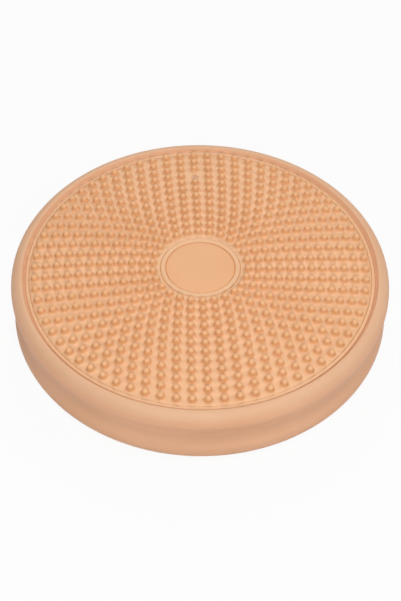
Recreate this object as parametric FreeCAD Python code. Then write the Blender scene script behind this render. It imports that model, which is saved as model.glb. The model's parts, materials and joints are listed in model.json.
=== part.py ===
"""Sensory balance cushion: an inflated soft PVC disc with moulded nubs and a needle valve.

Millimetres, +Z up. The origin is the centre of the underside, on the floor, and the
valve lies towards +Y.
"""
import FreeCAD, Part
import math
import os

# Body of the inflated disc
rim_radius = 165.3
seam_height = 31.5
waist_depth = 3.1
skin_wall = 3.0
ceiling_radius = 131.0
roll_facets = 3

# Top field: flat in the middle, then a shallow crown down to the edge band
field_height = 60.8
flat_radius = 92.5
crown_drop = 4.3

# Crest of the roll above the seam, and radius where the one below it starts
upper_crest_radius = 156.3
upper_crest_height = 59.4
lower_crest_radius = 153.6

# Raised bands of the top: one round the plain medallion, one round the whole field
band_rise = 0.5
medallion_radius = 30.3
medallion_band_width = 4.7
edge_band_radius = 149.7
edge_band_width = 3.4

# Nubs of the top, in rings whose columns line up on the Y axis
nub_rings = 12
nub_first_ring_radius = 41.7
nub_ring_step = 9.1
nub_ring_step_growth = 0.022
nub_first_ring_count = 26
nub_count_step = 4
nub_sides = 5
nub_base_radius = 4.0
nub_height = 5.0
nub_root = 1.0

# Underside: knobs in rings round a plain pad, all level on the floor
underside_height = 3.0
pad_radius = 35.0
knob_rings = 3
knob_first_ring_radius = 60.0
knob_ring_step = 32.0
knob_first_ring_count = 8
knob_count_step = 4
knob_sides = 5
knob_base_radius = 9.0
knob_tip_radius = 5.5
knob_root = 1.0

# Needle valve, which takes the place of one nub
valve_ring = 8
mouth_radius = 3.3
mouth_depth = 3.0
boss_radius = 10.0
boss_depth = 9.0
seat_bore_radius = 2.1
seat_flange_radius = 6.0
seat_flange_thickness = 1.2
core_setback = 0.6
needle_bore_radius = 1.05
needle_bore_depth = 6.0
glue_gap = 0.05

ORIGIN = FreeCAD.Vector(0, 0, 0)
UP = FreeCAD.Vector(0, 0, 1)
TILT_AXIS = FreeCAD.Vector(0, 1, 0)
FULL_TURN = 360.0
QUARTER_TURN = 90.0


def spot(radius, height):
    """A point of a revolved outline."""
    return FreeCAD.Vector(radius, 0, height)


def lines(points):
    """Straight edges through a list of points."""
    return [Part.LineSegment(a, b).toShape() for a, b in zip(points, points[1:])]


def on_circle(centre, radius, angle):
    """The point of a circle at an angle in degrees from straight outwards."""
    turn = math.radians(angle)
    return centre + spot(radius * math.cos(turn), radius * math.sin(turn))


def revolved(edges):
    """The solid that a closed outline sweeps round the Z axis."""
    return Part.Face(Part.Wire(edges)).revolve(ORIGIN, UP, FULL_TURN)


def quarter_roll(crest_radius, crest_height, upwards):
    """Points down a roll, from its crest to its widest place, for upwards 1 or -1."""
    radius = rim_radius - crest_radius
    centre = spot(crest_radius, crest_height - upwards * radius)
    step = upwards * QUARTER_TURN / roll_facets
    return [on_circle(centre, radius, step * (roll_facets - k)) for k in range(roll_facets + 1)]


# Crown of the top field: an arc that leaves the flat middle without a kink
crown_reach = edge_band_radius - flat_radius
crown_radius = (crown_reach**2 + crown_drop**2) / (2 * crown_drop)
crown_centre = spot(flat_radius, field_height - crown_radius)


def field_slope(radius):
    """How far the top field leans outwards at a radius, in degrees."""
    return math.degrees(math.asin(max(radius - flat_radius, 0) / crown_radius))


def field_level(radius):
    """Height of the top field at a radius."""
    return crown_centre.z + crown_radius * math.cos(math.radians(field_slope(radius)))


def nub_ring_radius(ring):
    """Radius of a ring of nubs: the rings stand a little further apart towards the edge."""
    return nub_first_ring_radius + nub_ring_step * ring + nub_ring_step_growth * ring**2


valve_radius = nub_ring_radius(valve_ring)
valve_level = field_level(valve_radius)
mouth_floor = valve_level - mouth_depth
boss_foot = mouth_floor - boss_depth
valve_foot = boss_foot - seat_flange_thickness
valve_centre = FreeCAD.Vector(0, valve_radius, 0)


def at_valve(height):
    """The point of the valve's axis at a height."""
    return valve_centre + UP * height


def corners(sides, radius, height):
    """Corners of a regular polygon round the Z axis."""
    turns = [2 * math.pi * corner / sides for corner in range(sides)]
    return [FreeCAD.Vector(radius * math.cos(t), radius * math.sin(t), height) for t in turns]


def faceted(loops):
    """A closed solid of flat faces, given the loop of corners of each face."""
    return Part.makeSolid(Part.makeShell([Part.Face(Part.makePolygon(p + p[:1])) for p in loops]))


def pointed_nub():
    """One nub of the top, as a low cone of flat faces on the XY plane, with a root below."""
    root_radius = nub_base_radius * (nub_height + nub_root) / nub_height
    base = corners(nub_sides, root_radius, -nub_root)
    tip = FreeCAD.Vector(0, 0, nub_height)
    return faceted([base] + [[a, b, tip] for a, b in zip(base, base[1:] + base[:1])])


def blunt_knob():
    """One knob of the underside, as a flat-tipped faceted cone with its tip on the floor."""
    widening = (knob_base_radius - knob_tip_radius) * knob_root / underside_height
    base = corners(knob_sides, knob_base_radius + widening, underside_height + knob_root)
    tip = corners(knob_sides, knob_tip_radius, 0)
    sides = zip(base, base[1:] + base[:1], tip[1:] + tip[:1], tip)
    return faceted([base, tip] + [list(side) for side in sides])


def ring_of(shape, count, left_out=()):
    """Copies of a shape round the Z axis, the first of them on the Y axis."""
    copies = []
    for number in range(count):
        if number not in left_out:
            copy = shape.copy()
            copy.rotate(ORIGIN, UP, QUARTER_TURN + FULL_TURN * number / count)
            copies.append(copy)
    return copies


def top_nubs():
    """All nubs of the top field, square to it, without the one that the valve replaces."""
    placed = []
    for ring in range(nub_rings):
        radius = nub_ring_radius(ring)
        standing = pointed_nub()
        standing.rotate(ORIGIN, TILT_AXIS, field_slope(radius))
        standing.translate(spot(radius, field_level(radius)))
        left_out = (0,) if ring == valve_ring else ()
        placed += ring_of(standing, nub_first_ring_count + nub_count_step * ring, left_out)
    return placed


def underside_knobs():
    """All knobs of the underside."""
    placed = []
    for ring in range(knob_rings):
        knob = blunt_knob()
        knob.translate(spot(knob_first_ring_radius + knob_ring_step * ring, 0))
        placed += ring_of(knob, knob_first_ring_count + knob_count_step * ring)
    return placed


def upper_skin():
    """The moulded top shell: field, bands, roll, nubs and the boss that holds the valve."""
    raised = field_height + band_rise
    medallion_edge = medallion_radius + medallion_band_width
    edge_level = field_height - crown_drop
    raised_edge = edge_level + band_rise
    band_outside = edge_band_radius + edge_band_width
    roll = quarter_roll(upper_crest_radius, upper_crest_height, 1)
    rim_height = roll[-1].z
    seam_radius = rim_radius - waist_depth
    ceiling_level = field_level(ceiling_radius) - skin_wall

    outline = lines([
        spot(0, field_height),
        spot(medallion_radius, field_height),
        spot(medallion_radius, raised),
        spot(medallion_edge, raised),
        spot(medallion_edge, field_height),
        spot(flat_radius, field_height),
    ])
    halfway = flat_radius + crown_reach / 2
    edge_start = spot(edge_band_radius, edge_level)
    crown = Part.Arc(spot(flat_radius, field_height), spot(halfway, field_level(halfway)), edge_start)
    outline.append(crown.toShape())
    outline += lines([
        edge_start,
        spot(edge_band_radius, raised_edge),
        spot(band_outside, raised_edge),
        spot(band_outside, edge_level),
        *roll,
        spot(seam_radius, seam_height),
        spot(seam_radius - skin_wall, seam_height),
        spot(rim_radius - skin_wall, rim_height),
        spot(upper_crest_radius, upper_crest_height - skin_wall),
        spot(band_outside, edge_level - skin_wall),
        spot(ceiling_radius, ceiling_level),
        spot(0, ceiling_level),
        spot(0, field_height),
    ])
    shell = revolved(outline)

    boss_top = field_level(valve_radius + boss_radius) - skin_wall / 2
    boss = Part.makeCylinder(boss_radius, boss_top - boss_foot, at_valve(boss_foot), UP)
    mouth = Part.makeCylinder(mouth_radius, valve_level, at_valve(boss_foot), UP)
    shell = shell.fuse(boss).cut(mouth)
    return shell.multiFuse(top_nubs())


def lower_skin():
    """The moulded bottom shell: roll, plain pad and knobs that stand on the floor."""
    roll = quarter_roll(lower_crest_radius, underside_height, -1)
    rim_height = roll[-1].z
    seam_radius = rim_radius - waist_depth
    inside_level = underside_height + skin_wall
    shell = revolved(lines([
        spot(0, 0),
        spot(pad_radius, 0),
        spot(pad_radius, underside_height),
        *roll,
        spot(seam_radius, seam_height),
        spot(seam_radius - skin_wall, seam_height),
        spot(rim_radius - skin_wall, rim_height),
        spot(lower_crest_radius, inside_level),
        spot(0, inside_level),
        spot(0, 0),
    ]))
    return shell.multiFuse(underside_knobs())


def valve_seat():
    """The bush glued up into the boss, whose rim shows as a pale ring in the mouth."""
    length = mouth_floor - valve_foot
    body = Part.makeCylinder(mouth_radius - glue_gap, length, at_valve(valve_foot), UP)
    flange = Part.makeCylinder(seat_flange_radius, seat_flange_thickness, at_valve(valve_foot), UP)
    bore = Part.makeCylinder(seat_bore_radius, length, at_valve(valve_foot), UP)
    return body.fuse(flange).cut(bore)


def valve_core():
    """The self-sealing rubber plug inside the seat, with its blind hole for the needle."""
    top = mouth_floor - core_setback
    body = Part.makeCylinder(seat_bore_radius - glue_gap, top - valve_foot, at_valve(valve_foot), UP)
    hole = Part.makeCylinder(needle_bore_radius, needle_bore_depth, at_valve(top - needle_bore_depth), UP)
    return body.cut(hole)


PIECES = {
    "upper_skin": upper_skin,
    "lower_skin": lower_skin,
    "valve_seat": valve_seat,
    "valve_core": valve_core,
}

os.makedirs("parts", exist_ok=True)
for node, make in PIECES.items():
    shape = make()
    print(node, "valid", shape.isValid(), "solids", len(shape.Solids), "volume", round(shape.Volume))
    shape.exportStep(f"parts/{node}.step")
print("valve radius", round(valve_radius, 3), "field there", round(valve_level, 3))
print("needle bore top", round(mouth_floor - core_setback, 4), "mouth floor", round(mouth_floor, 4))
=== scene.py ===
"""Looks of a round inflatable balance cushion of soft vinyl, with nubs, rolled rim and needle valve."""

import json
import logging
import math
from collections.abc import Iterable, Sequence
from dataclasses import dataclass, field
from enum import Enum

import bmesh
import bpy
from mathutils import Matrix, Vector

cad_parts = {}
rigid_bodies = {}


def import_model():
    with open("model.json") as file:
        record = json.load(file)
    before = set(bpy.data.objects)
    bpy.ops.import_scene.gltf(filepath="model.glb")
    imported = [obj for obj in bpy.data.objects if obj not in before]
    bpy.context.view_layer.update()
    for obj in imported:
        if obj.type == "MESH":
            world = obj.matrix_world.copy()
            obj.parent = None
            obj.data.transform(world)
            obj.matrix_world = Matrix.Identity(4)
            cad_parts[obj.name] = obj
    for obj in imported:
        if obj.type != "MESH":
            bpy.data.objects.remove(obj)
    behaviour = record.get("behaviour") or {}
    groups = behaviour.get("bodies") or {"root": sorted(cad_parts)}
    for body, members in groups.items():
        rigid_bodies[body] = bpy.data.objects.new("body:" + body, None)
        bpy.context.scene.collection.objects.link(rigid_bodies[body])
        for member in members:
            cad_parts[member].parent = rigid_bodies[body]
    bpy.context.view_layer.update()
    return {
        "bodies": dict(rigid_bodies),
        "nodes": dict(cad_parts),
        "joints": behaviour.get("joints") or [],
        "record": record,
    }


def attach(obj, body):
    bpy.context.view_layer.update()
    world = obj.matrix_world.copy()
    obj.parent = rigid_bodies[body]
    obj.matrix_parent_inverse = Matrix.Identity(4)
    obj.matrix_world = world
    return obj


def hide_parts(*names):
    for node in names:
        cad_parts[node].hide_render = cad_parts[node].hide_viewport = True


LOG = logging.getLogger("balance_cushion")
MM = 0.001
FULL_TURN = 2 * math.pi
QUARTER_TURN = math.pi / 2

Colour = tuple[float, float, float]
Point = tuple[float, float]


class Ray(Enum):
    """The kinds of ray that see the white surroundings."""

    CAMERA = "Is Camera Ray"
    GLOSSY = "Is Glossy Ray"
    TRANSMISSION = "Is Transmission Ray"


def linear(red: int, green: int, blue: int) -> Colour:
    """Turns a colour as seen on a screen into the linear values that a shader takes.

    Args:
        red: Red from 0 to 255.
        green: Green from 0 to 255.
        blue: Blue from 0 to 255.

    Returns:
        The three linear values.
    """

    def straight(value: int) -> float:
        """Gives one channel's linear value.

        Args:
            value: The channel as seen, from 0 to 255.

        Returns:
            The linear value, from 0 to 1.
        """
        share = value / 255
        return share / 12.92 if share <= 0.04045 else ((share + 0.055) / 1.055) ** 2.4

    return straight(red), straight(green), straight(blue)


class ShaderSheet:
    """One material's node tree, with short calls that add and join its nodes."""

    def __init__(self, name: str) -> None:
        """Starts an empty material.

        Args:
            name: The material's name.
        """
        self.material = bpy.data.materials.new(name)
        self.material.use_nodes = True
        self.tree = self.material.node_tree
        self.tree.nodes.clear()
        self.output = self.tree.nodes.new("ShaderNodeOutputMaterial")

    def node(self, kind: str, **settings: object) -> bpy.types.Node:
        """Adds a node.

        Args:
            kind: The node's Blender type.
            settings: Properties to set on it.

        Returns:
            The new node.
        """
        made = self.tree.nodes.new(kind)
        for name, value in settings.items():
            setattr(made, name, value)
        return made

    def feed(self, target: bpy.types.NodeSocket, source: object) -> None:
        """Links a socket to another one, or sets its value.

        Args:
            target: The socket that takes the value.
            source: A socket, a number or a tuple of numbers.
        """
        if isinstance(source, bpy.types.NodeSocket):
            self.tree.links.new(source, target)
        else:
            target.default_value = source

    def maths(self, operation: str, *values: object) -> bpy.types.NodeSocket:
        """Adds a Math node.

        Args:
            operation: The sum that it does.
            values: What goes into it, as sockets or numbers.

        Returns:
            The node's result.
        """
        made = self.node("ShaderNodeMath", operation=operation)
        for socket, value in zip(made.inputs, values):
            self.feed(socket, value)
        return made.outputs[0]

    def place(self) -> bpy.types.NodeSocket:
        """Adds the point on the object.

        Returns:
            The point, in metres from the middle of the object's underside.
        """
        return self.node("ShaderNodeTexCoord").outputs["Object"]

    def noise(self, scale: float, detail: float) -> bpy.types.NodeSocket:
        """Adds cloudy noise over the object.

        Args:
            scale: How many clouds fit in a metre.
            detail: How many finer layers it has.

        Returns:
            The noise, from 0 to 1.
        """
        made = self.node("ShaderNodeTexNoise", noise_dimensions="3D")
        self.feed(made.inputs["Vector"], self.place())
        self.feed(made.inputs["Scale"], scale)
        self.feed(made.inputs["Detail"], detail)
        return made.outputs[0]

    def ease(self, value: object, low: float, high: float) -> bpy.types.NodeSocket:
        """Turns a value smoothly into a share.

        Args:
            value: What is measured.
            low: Where the share is 0.
            high: Where the share is 1.

        Returns:
            The share, from 0 to 1.
        """
        made = self.node("ShaderNodeMapRange", interpolation_type="SMOOTHSTEP")
        self.feed(made.inputs["Value"], value)
        self.feed(made.inputs["From Min"], low)
        self.feed(made.inputs["From Max"], high)
        return made.outputs[0]

    def blend(self, share: object, first: object, second: object, way: str = "MIX") -> bpy.types.NodeSocket:
        """Mixes two colours.

        Args:
            share: How much of the second colour there is.
            first: The first colour, as a socket or linear values.
            second: The second colour, as a socket or linear values.
            way: How the second colour meets the first.

        Returns:
            The mixed colour.
        """
        made = self.node("ShaderNodeMix", data_type="RGBA", blend_type=way)
        self.feed(made.inputs[0], share)
        for socket, colour in ((made.inputs[6], first), (made.inputs[7], second)):
            self.feed(socket, (*colour, 1.0) if isinstance(colour, tuple) else colour)
        return made.outputs[2]

    def bump(
        self, height: object, depth: float, strength: float, below: object = None
    ) -> bpy.types.NodeSocket:
        """Adds fine relief.

        Args:
            height: The relief's shape, from 0 to 1.
            depth: Its height in metres.
            strength: How strongly it shows.
            below: The normal of a coarser relief under it.

        Returns:
            The normal.
        """
        made = self.node("ShaderNodeBump")
        self.feed(made.inputs["Height"], height)
        self.feed(made.inputs["Distance"], depth)
        self.feed(made.inputs["Strength"], strength)
        if below is not None:
            self.feed(made.inputs["Normal"], below)
        return made.outputs[0]

    def show(self, shader: bpy.types.Node) -> bpy.types.Material:
        """Joins a shader to the material's output.

        Args:
            shader: The node whose first output is shown.

        Returns:
            The finished material.
        """
        self.feed(self.output.inputs["Surface"], shader.outputs[0])
        return self.material


@dataclass(frozen=True)
class Crown:
    """The shallow dome that the field of nubs follows."""

    middle_height: float = 60.8 * MM
    reference_radius: float = 150.0 * MM
    linear_drop: float = 1.0 * MM
    square_drop: float = 3.3 * MM
    lean_span: float = 0.5 * MM

    def level(self, radius: float) -> float:
        """Gives the field's height.

        Args:
            radius: The distance from the Z axis.

        Returns:
            The height there.
        """
        share = (radius / self.reference_radius) ** 2
        return self.middle_height - self.linear_drop * share - self.square_drop * share**2

    def lean(self, radius: float) -> float:
        """Gives the field's outward lean.

        Args:
            radius: The distance from the Z axis.

        Returns:
            The lean there, in radians.
        """
        fall = self.level(radius - self.lean_span) - self.level(radius + self.lean_span)
        return math.atan2(fall, 2 * self.lean_span)


@dataclass(frozen=True)
class SoftVinyl:
    """Matt moulded vinyl, warmer on nubs and medallion, with painted shade on nub flanks, steep sides and
    below the waist, and deeper in ring lines.
    """

    crown: Crown
    line_radii: tuple[float, ...]
    name: str = "soft_vinyl"
    field_tone: Colour = linear(242, 195, 152)
    roll_tone: Colour = linear(236, 187, 149)
    # painted shade: steep sides of the roll and waist are more saturated, lower in green and blue, as in
    # shade
    painted_wall_shade: Colour = linear(239, 182, 143)
    # painted shade: below the waist the sides are a shade darker, where the upper roll keeps light off
    painted_low_shade: Colour = linear(232, 179, 142)
    medallion_tone: Colour = linear(242, 183, 134)
    nub_tone: Colour = linear(246, 190, 140)
    # painted shade: the nubs' steep flanks are darker and warmer, standing in for the shade of their slope
    # and neighbours
    painted_flank_shade: Colour = linear(227, 168, 116)
    line_tone: Colour = linear(196, 138, 92)
    cloud_tint: Colour = (0.975, 0.955, 0.93)
    medallion_edge: float = 30.5 * MM
    field_edge: float = 151.5 * MM
    edge_blur: float = 1.5 * MM
    nub_foot: float = 0.7 * MM
    nub_shoulder: float = 2.4 * MM
    crest_edge: float = 156.0 * MM
    wall_edge: float = 161.0 * MM
    # where the painted shade below the waist fades in
    waist_top: float = 38.0 * MM
    waist_foot: float = 31.0 * MM
    line_half_width: float = 0.55 * MM
    line_share: float = 0.72
    steep_start: float = 0.22
    steep_full: float = 0.85
    roughness: float = 0.52
    roughness_spread: float = 0.06
    mirror_level: float = 0.35
    cloud_scale: float = 22.0
    cloud_detail: float = 3.0
    cloud_start: float = 0.35
    cloud_full: float = 0.7
    grain_scale: float = 2600.0
    grain_detail: float = 2.0
    grain_depth: float = 0.03 * MM
    grain_strength: float = 0.35
    ripple_scale: float = 55.0
    ripple_detail: float = 1.0
    ripple_depth: float = 0.12 * MM
    ripple_strength: float = 0.5

    def dressed(self) -> bpy.types.Material:
        """Builds the material.

        Returns:
            The finished material.
        """
        sheet = ShaderSheet(self.name)
        shader = sheet.node("ShaderNodeBsdfPrincipled")
        sheet.feed(shader.inputs["Base Color"], self.colour(sheet))
        grain = sheet.noise(self.grain_scale, self.grain_detail)
        rough = sheet.node("ShaderNodeMapRange")
        sheet.feed(rough.inputs["Value"], grain)
        sheet.feed(rough.inputs["To Min"], self.roughness - self.roughness_spread)
        sheet.feed(rough.inputs["To Max"], self.roughness + self.roughness_spread)
        sheet.feed(shader.inputs["Roughness"], rough.outputs[0])
        waves = sheet.noise(self.ripple_scale, self.ripple_detail)
        ripples = sheet.bump(waves, self.ripple_depth, self.ripple_strength)
        relief = sheet.bump(grain, self.grain_depth, self.grain_strength, ripples)
        sheet.feed(shader.inputs["Normal"], relief)
        sheet.feed(shader.inputs["Specular IOR Level"], self.mirror_level)
        return sheet.show(shader)

    def colour(self, sheet: ShaderSheet) -> bpy.types.NodeSocket:
        """Joins the tones of the zones, with painted shade on nub flanks, steep sides and below the waist.

        Args:
            sheet: The material's nodes.

        Returns:
            The colour all over the cushion.
        """
        apart = sheet.node("ShaderNodeSeparateXYZ")
        sheet.feed(apart.inputs[0], sheet.place())
        height = apart.outputs[2]
        radius = self.distance_out(sheet)
        facing = sheet.node("ShaderNodeSeparateXYZ")
        sheet.feed(facing.inputs[0], sheet.node("ShaderNodeTexCoord").outputs["Normal"])
        tilt = sheet.maths("SUBTRACT", 1.0, facing.outputs[2])
        steep = sheet.ease(tilt, self.steep_start, self.steep_full)
        inside = sheet.ease(radius, self.medallion_edge + self.edge_blur, self.medallion_edge)
        outside = sheet.ease(radius, self.field_edge, self.field_edge + self.edge_blur)
        top = sheet.blend(inside, self.field_tone, self.medallion_tone)
        # painted shade: steep nub flanks take the darker flank colour
        nubs = sheet.blend(steep, self.nub_tone, self.painted_flank_shade)
        top = sheet.blend(self.nub_mask(sheet, radius, height), top, nubs)
        # painted shade: steep places on the roll take the wall shade colour
        wall = sheet.maths("MULTIPLY", steep, sheet.ease(radius, self.crest_edge, self.wall_edge))
        side = sheet.blend(wall, self.roll_tone, self.painted_wall_shade)
        # painted shade: the lower roll, below the waist, takes the darker low colour
        side = sheet.blend(sheet.ease(height, self.waist_top, self.waist_foot), side, self.painted_low_shade)
        colour = sheet.blend(outside, top, side)
        mist = sheet.noise(self.cloud_scale, self.cloud_detail)
        clouds = sheet.ease(mist, self.cloud_start, self.cloud_full)
        colour = sheet.blend(clouds, colour, self.cloud_tint, "MULTIPLY")
        return sheet.blend(self.line_mask(sheet, radius), colour, self.line_tone)

    def distance_out(self, sheet: ShaderSheet) -> bpy.types.NodeSocket:
        """Gives how far a point lies from the Z axis.

        Args:
            sheet: The material's nodes.

        Returns:
            The distance in metres.
        """
        flat = sheet.node("ShaderNodeVectorMath", operation="MULTIPLY")
        sheet.feed(flat.inputs[0], sheet.place())
        sheet.feed(flat.inputs[1], (1.0, 1.0, 0.0))
        length = sheet.node("ShaderNodeVectorMath", operation="LENGTH")
        sheet.feed(length.inputs[0], flat.outputs[0])
        return length.outputs["Value"]

    def nub_mask(self, sheet: ShaderSheet, radius: object, height: object) -> bpy.types.NodeSocket:
        """Marks what stands over the crown, which is the nubs.

        Args:
            sheet: The material's nodes.
            radius: How far the point lies from the Z axis.
            height: How high it lies.

        Returns:
            The share of the nubs' tone.
        """
        crown = self.crown
        share = sheet.maths("POWER", sheet.maths("DIVIDE", radius, crown.reference_radius), 2.0)
        drop = sheet.maths("MULTIPLY", sheet.maths("POWER", share, 2.0), crown.square_drop)
        drop = sheet.maths("ADD", sheet.maths("MULTIPLY", share, crown.linear_drop), drop)
        above = sheet.maths("ADD", sheet.maths("SUBTRACT", height, crown.middle_height), drop)
        return sheet.ease(above, self.nub_foot, self.nub_shoulder)

    def line_mask(self, sheet: ShaderSheet, radius: object) -> bpy.types.NodeSocket:
        """Darkens the bottoms of the ring lines on top, where dust and shade gather.

        Args:
            sheet: The material's nodes.
            radius: How far the point lies from the Z axis.

        Returns:
            The share of the line's tone.
        """
        total: object = 0.0
        for line in self.line_radii:
            away = sheet.maths("ABSOLUTE", sheet.maths("SUBTRACT", radius, line))
            near = sheet.ease(away, self.line_half_width, 0.0)
            total = sheet.maths("MAXIMUM", near, total)
        return sheet.maths("MULTIPLY", total, self.line_share)


@dataclass(frozen=True)
class ValvePlastic:
    """Smooth plastic or rubber of a small valve part."""

    name: str
    tone: Colour
    shade: Colour
    roughness: float = 0.35
    fleck_scale: float = 900.0
    fleck_detail: float = 2.0
    fleck_depth: float = 0.02 * MM
    fleck_strength: float = 0.3

    def dressed(self) -> bpy.types.Material:
        """Builds the material.

        Returns:
            The finished material.
        """
        sheet = ShaderSheet(self.name)
        shader = sheet.node("ShaderNodeBsdfPrincipled")
        flecks = sheet.noise(self.fleck_scale, self.fleck_detail)
        sheet.feed(shader.inputs["Base Color"], sheet.blend(flecks, self.tone, self.shade))
        sheet.feed(shader.inputs["Roughness"], self.roughness)
        sheet.feed(shader.inputs["Normal"], sheet.bump(flecks, self.fleck_depth, self.fleck_strength))
        return sheet.show(shader)


@dataclass
class Outline:
    """A line of points (radius, height) in metres that is turned round the Z axis."""

    points: list[Point] = field(default_factory=list)

    def to(self, radius: float, height: float) -> None:
        """Adds one point.

        Args:
            radius: Its distance from the Z axis.
            height: Its height.
        """
        self.points.append((radius, height))

    def arc(self, centre: Point, radius: float, start: float, end: float, steps: int) -> None:
        """Adds an arc, without its first point.

        Args:
            centre: The arc's centre.
            radius: Its radius.
            start: The angle it starts at, in radians from straight outwards.
            end: The angle it ends at.
            steps: How many points it adds.
        """
        for step in range(1, steps + 1):
            turn = start + (end - start) * step / steps
            self.to(centre[0] + radius * math.cos(turn), centre[1] + radius * math.sin(turn))


@dataclass(frozen=True)
class RoundedCone:
    """A nub: a cone with a round tip that runs out into its ground with a fillet."""

    height: float
    tip_radius: float
    slope: float
    fillet_radius: float
    sides: int = 16
    tip_steps: int = 4
    fillet_steps: int = 3
    sink: float = 0.02 * MM

    def rings(self) -> list[Point]:
        """Gives the outline from the tip to the rim, without the tip itself.

        Returns:
            The radius and height of each ring of points.
        """
        slope = math.radians(self.slope)
        both = self.tip_radius + self.fillet_radius
        flank_rise = self.height - both * (1 - math.cos(slope))
        rim_radius = flank_rise / math.tan(slope) + both * math.sin(slope)
        touch = QUARTER_TURN - slope
        tip = (0.0, self.height - self.tip_radius)
        foot = (rim_radius, self.fillet_radius)
        outline = Outline()
        outline.arc(tip, self.tip_radius, QUARTER_TURN, touch, self.tip_steps)
        flank_end = rim_radius - self.fillet_radius * math.sin(slope)
        outline.to(flank_end, self.fillet_radius * (1 - math.cos(slope)))
        outline.arc(foot, self.fillet_radius, math.pi + touch, 3 * QUARTER_TURN, self.fillet_steps)
        return [(radius, height - self.sink) for radius, height in outline.points]

    def add_to(self, mesh: bmesh.types.BMesh, stand: Matrix) -> None:
        """Adds the nub to a mesh.

        Args:
            mesh: The mesh that takes it.
            stand: Where the nub's foot stands and which way it points.
        """
        top = mesh.verts.new(stand @ Vector((0.0, 0.0, self.height - self.sink)))
        loops = [ring_of_points(mesh, *ring, self.sides, stand) for ring in self.rings()]
        close_top(mesh, top, loops[0])
        for inner, outer in zip(loops, loops[1:]):
            join_loops(mesh, inner, outer)


def ring_of_points(
    mesh: bmesh.types.BMesh, radius: float, height: float, sides: int, stand: Matrix
) -> list[bmesh.types.BMVert]:
    """Adds a ring of points round the Z axis of a stand.

    Args:
        mesh: The mesh that takes the points.
        radius: The ring's radius.
        height: Its height above the stand.
        sides: How many points it has.
        stand: The stand's place.

    Returns:
        The new points, anticlockwise from above.
    """
    turns = [FULL_TURN * number / sides for number in range(sides)]
    spots = [Vector((radius * math.cos(turn), radius * math.sin(turn), height)) for turn in turns]
    return [mesh.verts.new(stand @ spot) for spot in spots]


def close_top(mesh: bmesh.types.BMesh, top: bmesh.types.BMVert, loop: list[bmesh.types.BMVert]) -> None:
    """Fills the top end between a point and the ring round it.

    Args:
        mesh: The mesh that takes the faces.
        top: The point on the axis.
        loop: The ring below it.
    """
    for first, second in zip(loop, loop[1:] + loop[:1]):
        mesh.faces.new((top, first, second))


def join_loops(
    mesh: bmesh.types.BMesh, inner: Sequence[bmesh.types.BMVert], outer: Sequence[bmesh.types.BMVert]
) -> None:
    """Fills the band between two rings of as many points.

    Args:
        mesh: The mesh that takes the faces.
        inner: The ring nearer to the start of the outline.
        outer: The next ring.
    """
    count = len(inner)
    for number in range(count):
        after = (number + 1) % count
        mesh.faces.new((inner[number], outer[number], outer[after], inner[after]))


def turned(outline: Sequence[Point], sides: int, stand: Matrix) -> bmesh.types.BMesh:
    """Turns an outline that starts and ends on the axis into a closed body.

    Args:
        outline: The outline's points, from the top to the bottom.
        sides: How many points each ring has.
        stand: Where the body's axis stands.

    Returns:
        The closed mesh.
    """
    mesh = bmesh.new()
    top = mesh.verts.new(stand @ Vector((0.0, 0.0, outline[0][1])))
    foot = mesh.verts.new(stand @ Vector((0.0, 0.0, outline[-1][1])))
    loops = [ring_of_points(mesh, *ring, sides, stand) for ring in outline[1:-1]]
    close_top(mesh, top, loops[0])
    for inner, outer in zip(loops, loops[1:]):
        join_loops(mesh, inner, outer)
    for first, second in zip(loops[-1], loops[-1][1:] + loops[-1][:1]):
        mesh.faces.new((foot, second, first))
    return mesh


def as_object(name: str, mesh: bmesh.types.BMesh) -> bpy.types.Object:
    """Makes a smooth-shaded object of a mesh.

    Args:
        name: The object's name.
        mesh: The mesh, which is freed.

    Returns:
        The object, in the scene.
    """
    data = bpy.data.meshes.new(name)
    mesh.to_mesh(data)
    mesh.free()
    data.shade_smooth()
    made = bpy.data.objects.new(name, data)
    bpy.context.scene.collection.objects.link(made)
    return made


@dataclass
class Valve:
    """The needle valve: its mouth in the skin, and the seat and plug inside."""

    centre: Vector
    mouth_radius: float = 3.3 * MM
    lip_radius: float = 0.35 * MM
    recess_depth: float = 3.6 * MM
    overrun: float = 2.0 * MM
    lip_steps: int = 4
    sides: int = 40

    def cutter(self) -> bpy.types.Object:
        """Builds the plug-shaped body that cuts the mouth, with a rounded lip.

        Returns:
            The body.
        """
        outline = Outline()
        lip = self.mouth_radius + self.lip_radius
        outline.to(0.0, self.overrun)
        outline.to(lip, self.overrun)
        outline.to(lip, 0.0)
        outline.arc((lip, -self.lip_radius), self.lip_radius, QUARTER_TURN, math.pi, self.lip_steps)
        outline.to(self.mouth_radius, -self.recess_depth)
        outline.to(0.0, -self.recess_depth)
        stand = Matrix.Translation(self.centre)
        return as_object("mouth_cutter", turned(outline.points, self.sides, stand))

    def cut_into(self, skin: bpy.types.Object) -> None:
        """Cuts the mouth into the skin.

        Args:
            skin: The cushion's skin.
        """
        cutter = self.cutter()
        cut = skin.modifiers.new("mouth", "BOOLEAN")
        cut.operation = "DIFFERENCE"
        cut.solver = "EXACT"
        cut.object = cutter
        shapes = bpy.context.evaluated_depsgraph_get()
        plain = skin.data
        skin.data = bpy.data.meshes.new_from_object(skin.evaluated_get(shapes))
        skin.modifiers.clear()
        bpy.data.meshes.remove(plain)
        bpy.data.objects.remove(cutter)

    def dress(self, nodes: dict[str, bpy.types.Object]) -> None:
        """Gives the seat and the plug their materials.

        Args:
            nodes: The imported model's nodes.
        """
        finishes = {
            "valve_seat": ValvePlastic("valve_seat_plastic", linear(255, 236, 220), linear(250, 222, 200)),
            "valve_core": ValvePlastic(
                "valve_plug_rubber", linear(170, 118, 84), linear(150, 100, 70), roughness=0.5
            ),
        }
        for name, finish in finishes.items():
            node = nodes[name]
            node.data.materials.clear()
            node.data.materials.append(finish.dressed())
            LOG.info("%s dressed as %s", name, finish.name)


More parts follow.
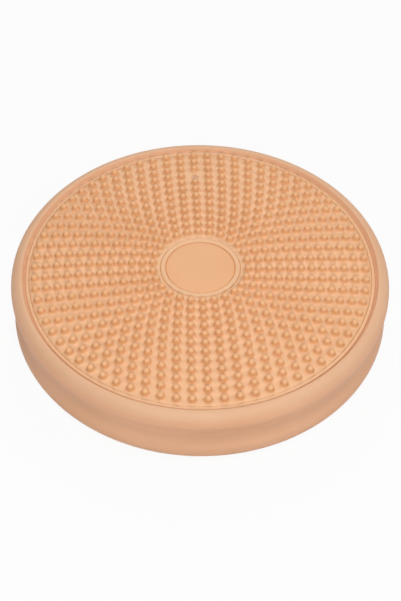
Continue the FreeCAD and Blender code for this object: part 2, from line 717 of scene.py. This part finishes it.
@dataclass
class CushionSkin:
    """The inflated body: medallion, field of nubs, edge band, rolls, waist and underside."""

    crown: Crown = Crown()
    rim_radius: float = 165.8 * MM
    lower_rim_radius: float = 165.3 * MM
    waist_radius: float = 161.4 * MM
    widest_height: float = 48.5 * MM
    overhang_radius: float = 12.0 * MM
    tuck_fillet: float = 5.5 * MM
    waist_foot_height: float = 29.5 * MM
    foot_fillet: float = 21.0 * MM
    upper_crest_radius: float = 156.3 * MM
    upper_crest_height: float = 60.0 * MM
    lower_crest_radius: float = 155.3 * MM
    underside_height: float = 3.0 * MM
    pad_edge: float = 36.0 * MM
    pad_bend: float = 3.0 * MM
    shading_margin: float = 2.0 * MM
    medallion_lines: tuple[float, float] = (30.3 * MM, 35.0 * MM)
    edge_lines: tuple[float, float] = (149.7 * MM, 153.1 * MM)
    line_half_width: float = 0.55 * MM
    line_shoulder: float = 0.825 * MM
    line_softness: float = 0.06 * MM
    line_depth: float = 0.8 * MM
    band_rise: float = 0.5 * MM
    nub_rings: int = 12
    first_ring_radius: float = 41.7 * MM
    ring_step: float = 9.1 * MM
    ring_step_growth: float = 0.022 * MM
    first_ring_count: int = 26
    count_step: int = 4
    valve_ring: int = 8
    nub: RoundedCone = RoundedCone(
        height=6.3 * MM, tip_radius=3.0 * MM, slope=74.0, fillet_radius=1.8 * MM, fillet_steps=2
    )
    knob: RoundedCone = RoundedCone(
        height=3.0 * MM, tip_radius=11.0 * MM, slope=30.0, fillet_radius=1.5 * MM, sides=24
    )
    knob_rings: tuple[tuple[float, int], ...] = ((60.0 * MM, 8), (92.0 * MM, 12), (124.0 * MM, 16))
    sides: int = 192
    medallion_steps: int = 5
    field_steps: int = 22
    rise_steps: int = 6
    crest_steps: int = 16
    overhang_steps: int = 6
    tuck_steps: int = 5
    foot_steps: int = 7
    side_steps: int = 5
    lower_steps: int = 14
    pad_steps: int = 5

    def nub_radius(self, ring: int) -> float:
        """Gives the radius of a ring of nubs.

        Args:
            ring: The ring's number, from 0 at the medallion.

        Returns:
            The ring's radius.
        """
        return self.first_ring_radius + self.ring_step * ring + self.ring_step_growth * ring**2

    def valve_centre(self) -> Vector:
        """Gives the middle of the valve's mouth on the field.

        Returns:
            The point, in metres.
        """
        radius = self.nub_radius(self.valve_ring)
        return Vector((0.0, radius, self.crown.level(radius)))

    def add_line(self, outline: Outline, radius: float, inside: float, outside: float) -> None:
        """Adds a ring line, a narrow groove with soft shoulders.

        Args:
            outline: The outline that takes it.
            radius: The line's radius.
            inside: How high the ground inside it stands over the crown.
            outside: How high the ground outside it stands over the crown.
        """
        half = self.line_half_width
        level = self.crown.level(radius)
        floor = level - self.line_depth
        outline.to(radius - self.line_shoulder, level + inside)
        outline.to(radius - half, level + inside - self.line_softness)
        outline.to(radius - half / 3, floor + self.line_softness)
        outline.to(radius, floor)
        outline.to(radius + half / 3, floor + self.line_softness)
        outline.to(radius + half, level + outside - self.line_softness)
        outline.to(radius + self.line_shoulder, level + outside)

    def add_ground(self, outline: Outline, start: float, end: float, steps: int) -> None:
        """Adds a stretch of the crown, without its first and last point.

        Args:
            outline: The outline that takes it.
            start: The radius where the stretch starts.
            end: The radius where it ends.
            steps: How many steps it is cut into.
        """
        for step in range(1, steps):
            radius = start + (end - start) * step / steps
            outline.to(radius, self.crown.level(radius))

    def add_upper_roll(self, outline: Outline) -> None:
        """Adds the upper roll, from its crest past its widest place to where it tucks in above the waist.

        Args:
            outline: The outline that takes it.
        """
        across = self.rim_radius - self.upper_crest_radius
        up = self.upper_crest_height - self.widest_height
        for step in range(1, self.crest_steps + 1):
            turn = QUARTER_TURN * (1 - step / self.crest_steps)
            radius = self.upper_crest_radius + across * math.cos(turn)
            outline.to(radius, self.widest_height + up * math.sin(turn))
        both = self.overhang_radius + self.tuck_fillet
        lean = math.acos(1 - (self.rim_radius - self.waist_radius) / both)
        overhang = (self.rim_radius - self.overhang_radius, self.widest_height)
        tuck = (self.waist_radius + self.tuck_fillet, self.widest_height - both * math.sin(lean))
        outline.arc(overhang, self.overhang_radius, 0.0, -lean, self.overhang_steps)
        outline.arc(tuck, self.tuck_fillet, math.pi - lean, math.pi, self.tuck_steps)

    def add_lower_roll(self, outline: Outline) -> None:
        """Adds the taller lower roll, from the foot of the waist to the underside.

        Args:
            outline: The outline that takes it.
        """
        radius = self.lower_rim_radius - self.lower_crest_radius
        middle = self.underside_height + radius
        rise = self.waist_foot_height - middle
        depth = self.lower_rim_radius - self.waist_radius
        side_radius = (rise**2 / depth + depth) / 2 - self.foot_fillet
        lean = math.asin(rise / (side_radius + self.foot_fillet))
        outline.to(self.waist_radius, self.waist_foot_height)
        foot = (self.waist_radius + self.foot_fillet, self.waist_foot_height)
        side = (self.lower_rim_radius - side_radius, middle)
        corner = (self.lower_crest_radius, middle)
        outline.arc(foot, self.foot_fillet, math.pi, math.pi + lean, self.foot_steps)
        outline.arc(side, side_radius, lean, 0.0, self.side_steps)
        outline.arc(corner, radius, 0.0, -QUARTER_TURN, self.lower_steps)

    def outline(self) -> list[Point]:
        """Gives the whole outline.

        Returns:
            Its points, from the middle of the top to the middle of the underside.
        """
        outline = Outline()
        line_start, line_end = self.medallion_lines
        edge_start, edge_end = self.edge_lines
        margin = self.line_shoulder
        outline.to(0.0, self.crown.level(0.0))
        self.add_ground(outline, 0.0, line_start - margin, self.medallion_steps)
        self.add_line(outline, line_start, 0.0, self.band_rise)
        self.add_line(outline, line_end, self.band_rise, 0.0)
        self.add_ground(outline, line_end + margin, edge_start - margin, self.field_steps)
        self.add_line(outline, edge_start, 0.0, self.band_rise)
        self.add_line(outline, edge_end, self.band_rise, 0.0)
        self.add_rise(outline, edge_end + margin)
        self.add_upper_roll(outline)
        self.add_lower_roll(outline)
        self.add_underside(outline)
        return outline.points

    def add_underside(self, outline: Outline) -> None:
        """Adds the flat underside and the pad, with rings that keep the shading of flat places flat.

        Args:
            outline: The outline that takes them.
        """
        flat_edge = self.pad_edge - self.pad_bend
        outline.to(self.lower_crest_radius - self.shading_margin, self.underside_height)
        outline.to(self.pad_edge + self.shading_margin, self.underside_height)
        outline.to(self.pad_edge, self.underside_height)
        outline.arc((flat_edge, self.pad_bend), self.pad_bend, 0.0, -QUARTER_TURN, self.pad_steps)
        outline.to(flat_edge - self.shading_margin, 0.0)
        outline.to(0.0, 0.0)

    def add_rise(self, outline: Outline, start: float) -> None:
        """Adds the smooth climb from the edge band up to the upper roll's crest.

        Args:
            outline: The outline that takes it.
            start: The radius where the climb starts.
        """
        low = self.crown.level(start)
        for step in range(1, self.rise_steps + 1):
            share = step / self.rise_steps
            radius = start + (self.upper_crest_radius - start) * share
            climb = (self.upper_crest_height - low) * math.sin(share * QUARTER_TURN)
            outline.to(radius, low + climb)

    def add_ring(
        self,
        mesh: bmesh.types.BMesh,
        cone: RoundedCone,
        foot: Matrix,
        lean: Matrix,
        count: int,
        skipped: tuple[int, ...] = (),
    ) -> int:
        """Adds a ring of nubs or knobs, with its first place on the Y axis.

        Args:
            mesh: The mesh that takes them.
            cone: The shape of each.
            foot: Where each stands before it is turned round the Z axis.
            lean: How each is tilted about its foot.
            count: How many places the ring has.
            skipped: The numbers of the places that stay empty.

        Returns:
            How many were added.
        """
        numbers = [number for number in range(count) if number not in skipped]
        for number in numbers:
            turn = Matrix.Rotation(QUARTER_TURN + FULL_TURN * number / count, 4, "Z")
            cone.add_to(mesh, turn @ foot @ lean)
        return len(numbers)

    def add_nubs(self, mesh: bmesh.types.BMesh) -> int:
        """Adds all nubs of the top, without the one whose place the valve takes.

        Args:
            mesh: The mesh that takes them.

        Returns:
            How many there are.
        """
        total = 0
        for ring in range(self.nub_rings):
            radius = self.nub_radius(ring)
            lean = Matrix.Rotation(self.crown.lean(radius), 4, "Y")
            foot = Matrix.Translation((radius, 0.0, self.crown.level(radius)))
            count = self.first_ring_count + self.count_step * ring
            skipped = (0,) if ring == self.valve_ring else ()
            total += self.add_ring(mesh, self.nub, foot, lean, count, skipped)
        return total

    def add_knobs(self, mesh: bmesh.types.BMesh) -> int:
        """Adds the low round knobs of the underside.

        Args:
            mesh: The mesh that takes them.

        Returns:
            How many there are.
        """
        over = Matrix.Rotation(math.pi, 4, "X")
        total = 0
        for radius, count in self.knob_rings:
            foot = Matrix.Translation((radius, 0.0, self.underside_height))
            total += self.add_ring(mesh, self.knob, foot, over, count)
        return total

    def build(self, valve: Valve) -> bpy.types.Object:
        """Builds the skin.

        Args:
            valve: The valve whose mouth is cut into it.

        Returns:
            The finished piece.
        """
        skin = as_object("cushion_skin", turned(self.outline(), self.sides, Matrix.Identity(4)))
        valve.cut_into(skin)
        mesh = bmesh.new()
        mesh.from_mesh(skin.data)
        nubs = self.add_nubs(mesh)
        knobs = self.add_knobs(mesh)
        mesh.to_mesh(skin.data)
        mesh.free()
        skin.data.shade_smooth()
        skin.data.materials.clear()
        vinyl = SoftVinyl(self.crown, (*self.medallion_lines, *self.edge_lines))
        skin.data.materials.append(vinyl.dressed())
        faces = len(skin.data.polygons)
        LOG.info("cushion_skin built with %d nubs and %d knobs, %d faces", nubs, knobs, faces)
        return skin


@dataclass(frozen=True)
class SoftLamp:
    """A round soft lamp that points at the cushion."""

    name: str
    place: tuple[float, float, float]
    power: float
    size: float = 0.5

    def build(self) -> None:
        """Builds the lamp."""
        lamp = bpy.data.lights.new(self.name, "AREA")
        lamp.shape = "DISK"
        lamp.size = self.size
        lamp.energy = self.power
        holder = bpy.data.objects.new(self.name, lamp)
        holder.location = self.place
        holder.rotation_euler = (-Vector(self.place)).to_track_quat("-Z", "Y").to_euler()
        bpy.context.scene.collection.objects.link(holder)


@dataclass
class Studio:
    """The plain pale floor, the soft lights and the camera."""

    floor_size: float = 12.0
    floor_tone: float = 0.8
    white_share: float = 0.93
    sky_strength: float = 0.22
    lamps: tuple[SoftLamp, ...] = (
        SoftLamp("high_front_light", (0.0, -0.6, 1.48), 6.1),
        SoftLamp("front_light", (0.0, -1.28, 0.96), 6.5),
        SoftLamp("right_light", (1.25, -0.2, 0.98), 3.9),
        SoftLamp("left_light", (-1.2, -0.6, 0.8), 1.4),
        SoftLamp("high_back_light", (0.0, 1.1, 1.12), 5.0),
    )
    eye_height_angle: float = 46.86
    eye_distance: float = 1238.1 * MM
    eye_roll: float = -0.83
    eye_turn: float = 3.18
    focal_pixels: float = 1418.0
    frame_pixels: tuple[float, float] = (401.0, 601.0)
    target_pixel: tuple[float, float] = (200.42, 265.53)
    target_height: float = 63.0 * MM
    sensor: float = 36.0

    def white_rays(self, tree: bpy.types.NodeTree) -> bpy.types.NodeSocket:
        """Adds the share of white that camera, mirror and glass rays see.

        Args:
            tree: The node tree that takes the nodes.

        Returns:
            1 for those rays and 0 for all others.
        """
        path = tree.nodes.new("ShaderNodeLightPath")
        total = path.outputs[Ray.CAMERA.value]
        for ray in (Ray.GLOSSY, Ray.TRANSMISSION):
            either = tree.nodes.new("ShaderNodeMath")
            either.operation = "MAXIMUM"
            tree.links.new(total, either.inputs[0])
            tree.links.new(path.outputs[ray.value], either.inputs[1])
            total = either.outputs[0]
        return total

    def build_world(self) -> None:
        """Builds an even sky that looks white."""
        world = bpy.data.worlds.new("studio_sky")
        bpy.context.scene.world = world
        world.use_nodes = True
        tree = world.node_tree
        tree.nodes.clear()
        even = tree.nodes.new("ShaderNodeBackground")
        even.inputs["Strength"].default_value = self.sky_strength
        even.inputs["Color"].default_value = (1.0, 1.0, 1.0, 1.0)
        white = tree.nodes.new("ShaderNodeBackground")
        white.inputs["Color"].default_value = (1.0, 1.0, 1.0, 1.0)
        mix = tree.nodes.new("ShaderNodeMixShader")
        output = tree.nodes.new("ShaderNodeOutputWorld")
        tree.links.new(self.white_rays(tree), mix.inputs[0])
        tree.links.new(even.outputs[0], mix.inputs[1])
        tree.links.new(white.outputs[0], mix.inputs[2])
        tree.links.new(mix.outputs[0], output.inputs["Surface"])

    def build_floor(self) -> None:
        """Builds the pale floor, which looks nearly white and keeps a faint shadow."""
        mesh = bmesh.new()
        bmesh.ops.create_grid(mesh, x_segments=1, y_segments=1, size=self.floor_size / 2)
        floor = as_object("floor", mesh)
        sheet = ShaderSheet("pale_floor")
        matt = sheet.node("ShaderNodeBsdfDiffuse")
        sheet.feed(matt.inputs["Color"], (self.floor_tone, self.floor_tone, self.floor_tone, 1.0))
        glow = sheet.node("ShaderNodeEmission")
        mix = sheet.node("ShaderNodeMixShader")
        sheet.feed(mix.inputs[0], sheet.maths("MULTIPLY", self.white_rays(sheet.tree), self.white_share))
        sheet.feed(mix.inputs[1], matt.outputs[0])
        sheet.feed(mix.inputs[2], glow.outputs[0])
        floor.data.materials.append(sheet.show(mix))

    def build_camera(self) -> None:
        """Builds the camera at the photograph's viewing angle."""
        lift = math.radians(self.eye_height_angle)
        towards = Vector((0.0, math.cos(lift), -math.sin(lift)))
        level_up = Vector((0.0, math.sin(lift), math.cos(lift)))
        level_right = Vector((1.0, 0.0, 0.0))
        roll = math.radians(self.eye_roll)
        right = math.cos(roll) * level_right - math.sin(roll) * level_up
        up = math.sin(roll) * level_right + math.cos(roll) * level_up
        across = (self.target_pixel[0] - self.frame_pixels[0] / 2) / self.focal_pixels
        above = -(self.target_pixel[1] - self.frame_pixels[1] / 2) / self.focal_pixels
        ahead = (towards - across * right - above * up).normalized()
        right = right + across * towards
        right = (right - ahead * right.dot(ahead)).normalized()
        up = right.cross(ahead)
        place = Vector((0.0, 0.0, self.target_height)) - towards * self.eye_distance
        frame = Matrix((right, up, -ahead)).transposed().to_4x4()
        turn = Matrix.Rotation(-math.radians(self.eye_turn), 4, "Z")
        data = bpy.data.cameras.new("camera")
        data.sensor_width = self.sensor
        data.lens = self.sensor * self.focal_pixels / max(self.frame_pixels)
        camera = bpy.data.objects.new("camera", data)
        camera.matrix_world = turn @ Matrix.Translation(place) @ frame
        bpy.context.scene.collection.objects.link(camera)
        bpy.context.scene.camera = camera

    def build(self) -> None:
        """Builds the whole studio."""
        self.build_world()
        self.build_floor()
        for lamp in self.lamps:
            lamp.build()
        self.build_camera()
        bpy.context.scene.view_settings.view_transform = "Standard"


def main() -> None:
    """Builds the cushion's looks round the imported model, and its studio."""
    logging.basicConfig(level=logging.INFO, format="%(name)s: %(message)s")
    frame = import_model()
    body = CushionSkin()
    valve = Valve(body.valve_centre())
    skin = body.build(valve)
    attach(skin, "root")
    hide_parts("upper_skin", "lower_skin")
    valve.dress(frame["nodes"])
    Studio().build()


if __name__ == "__main__":
    main()
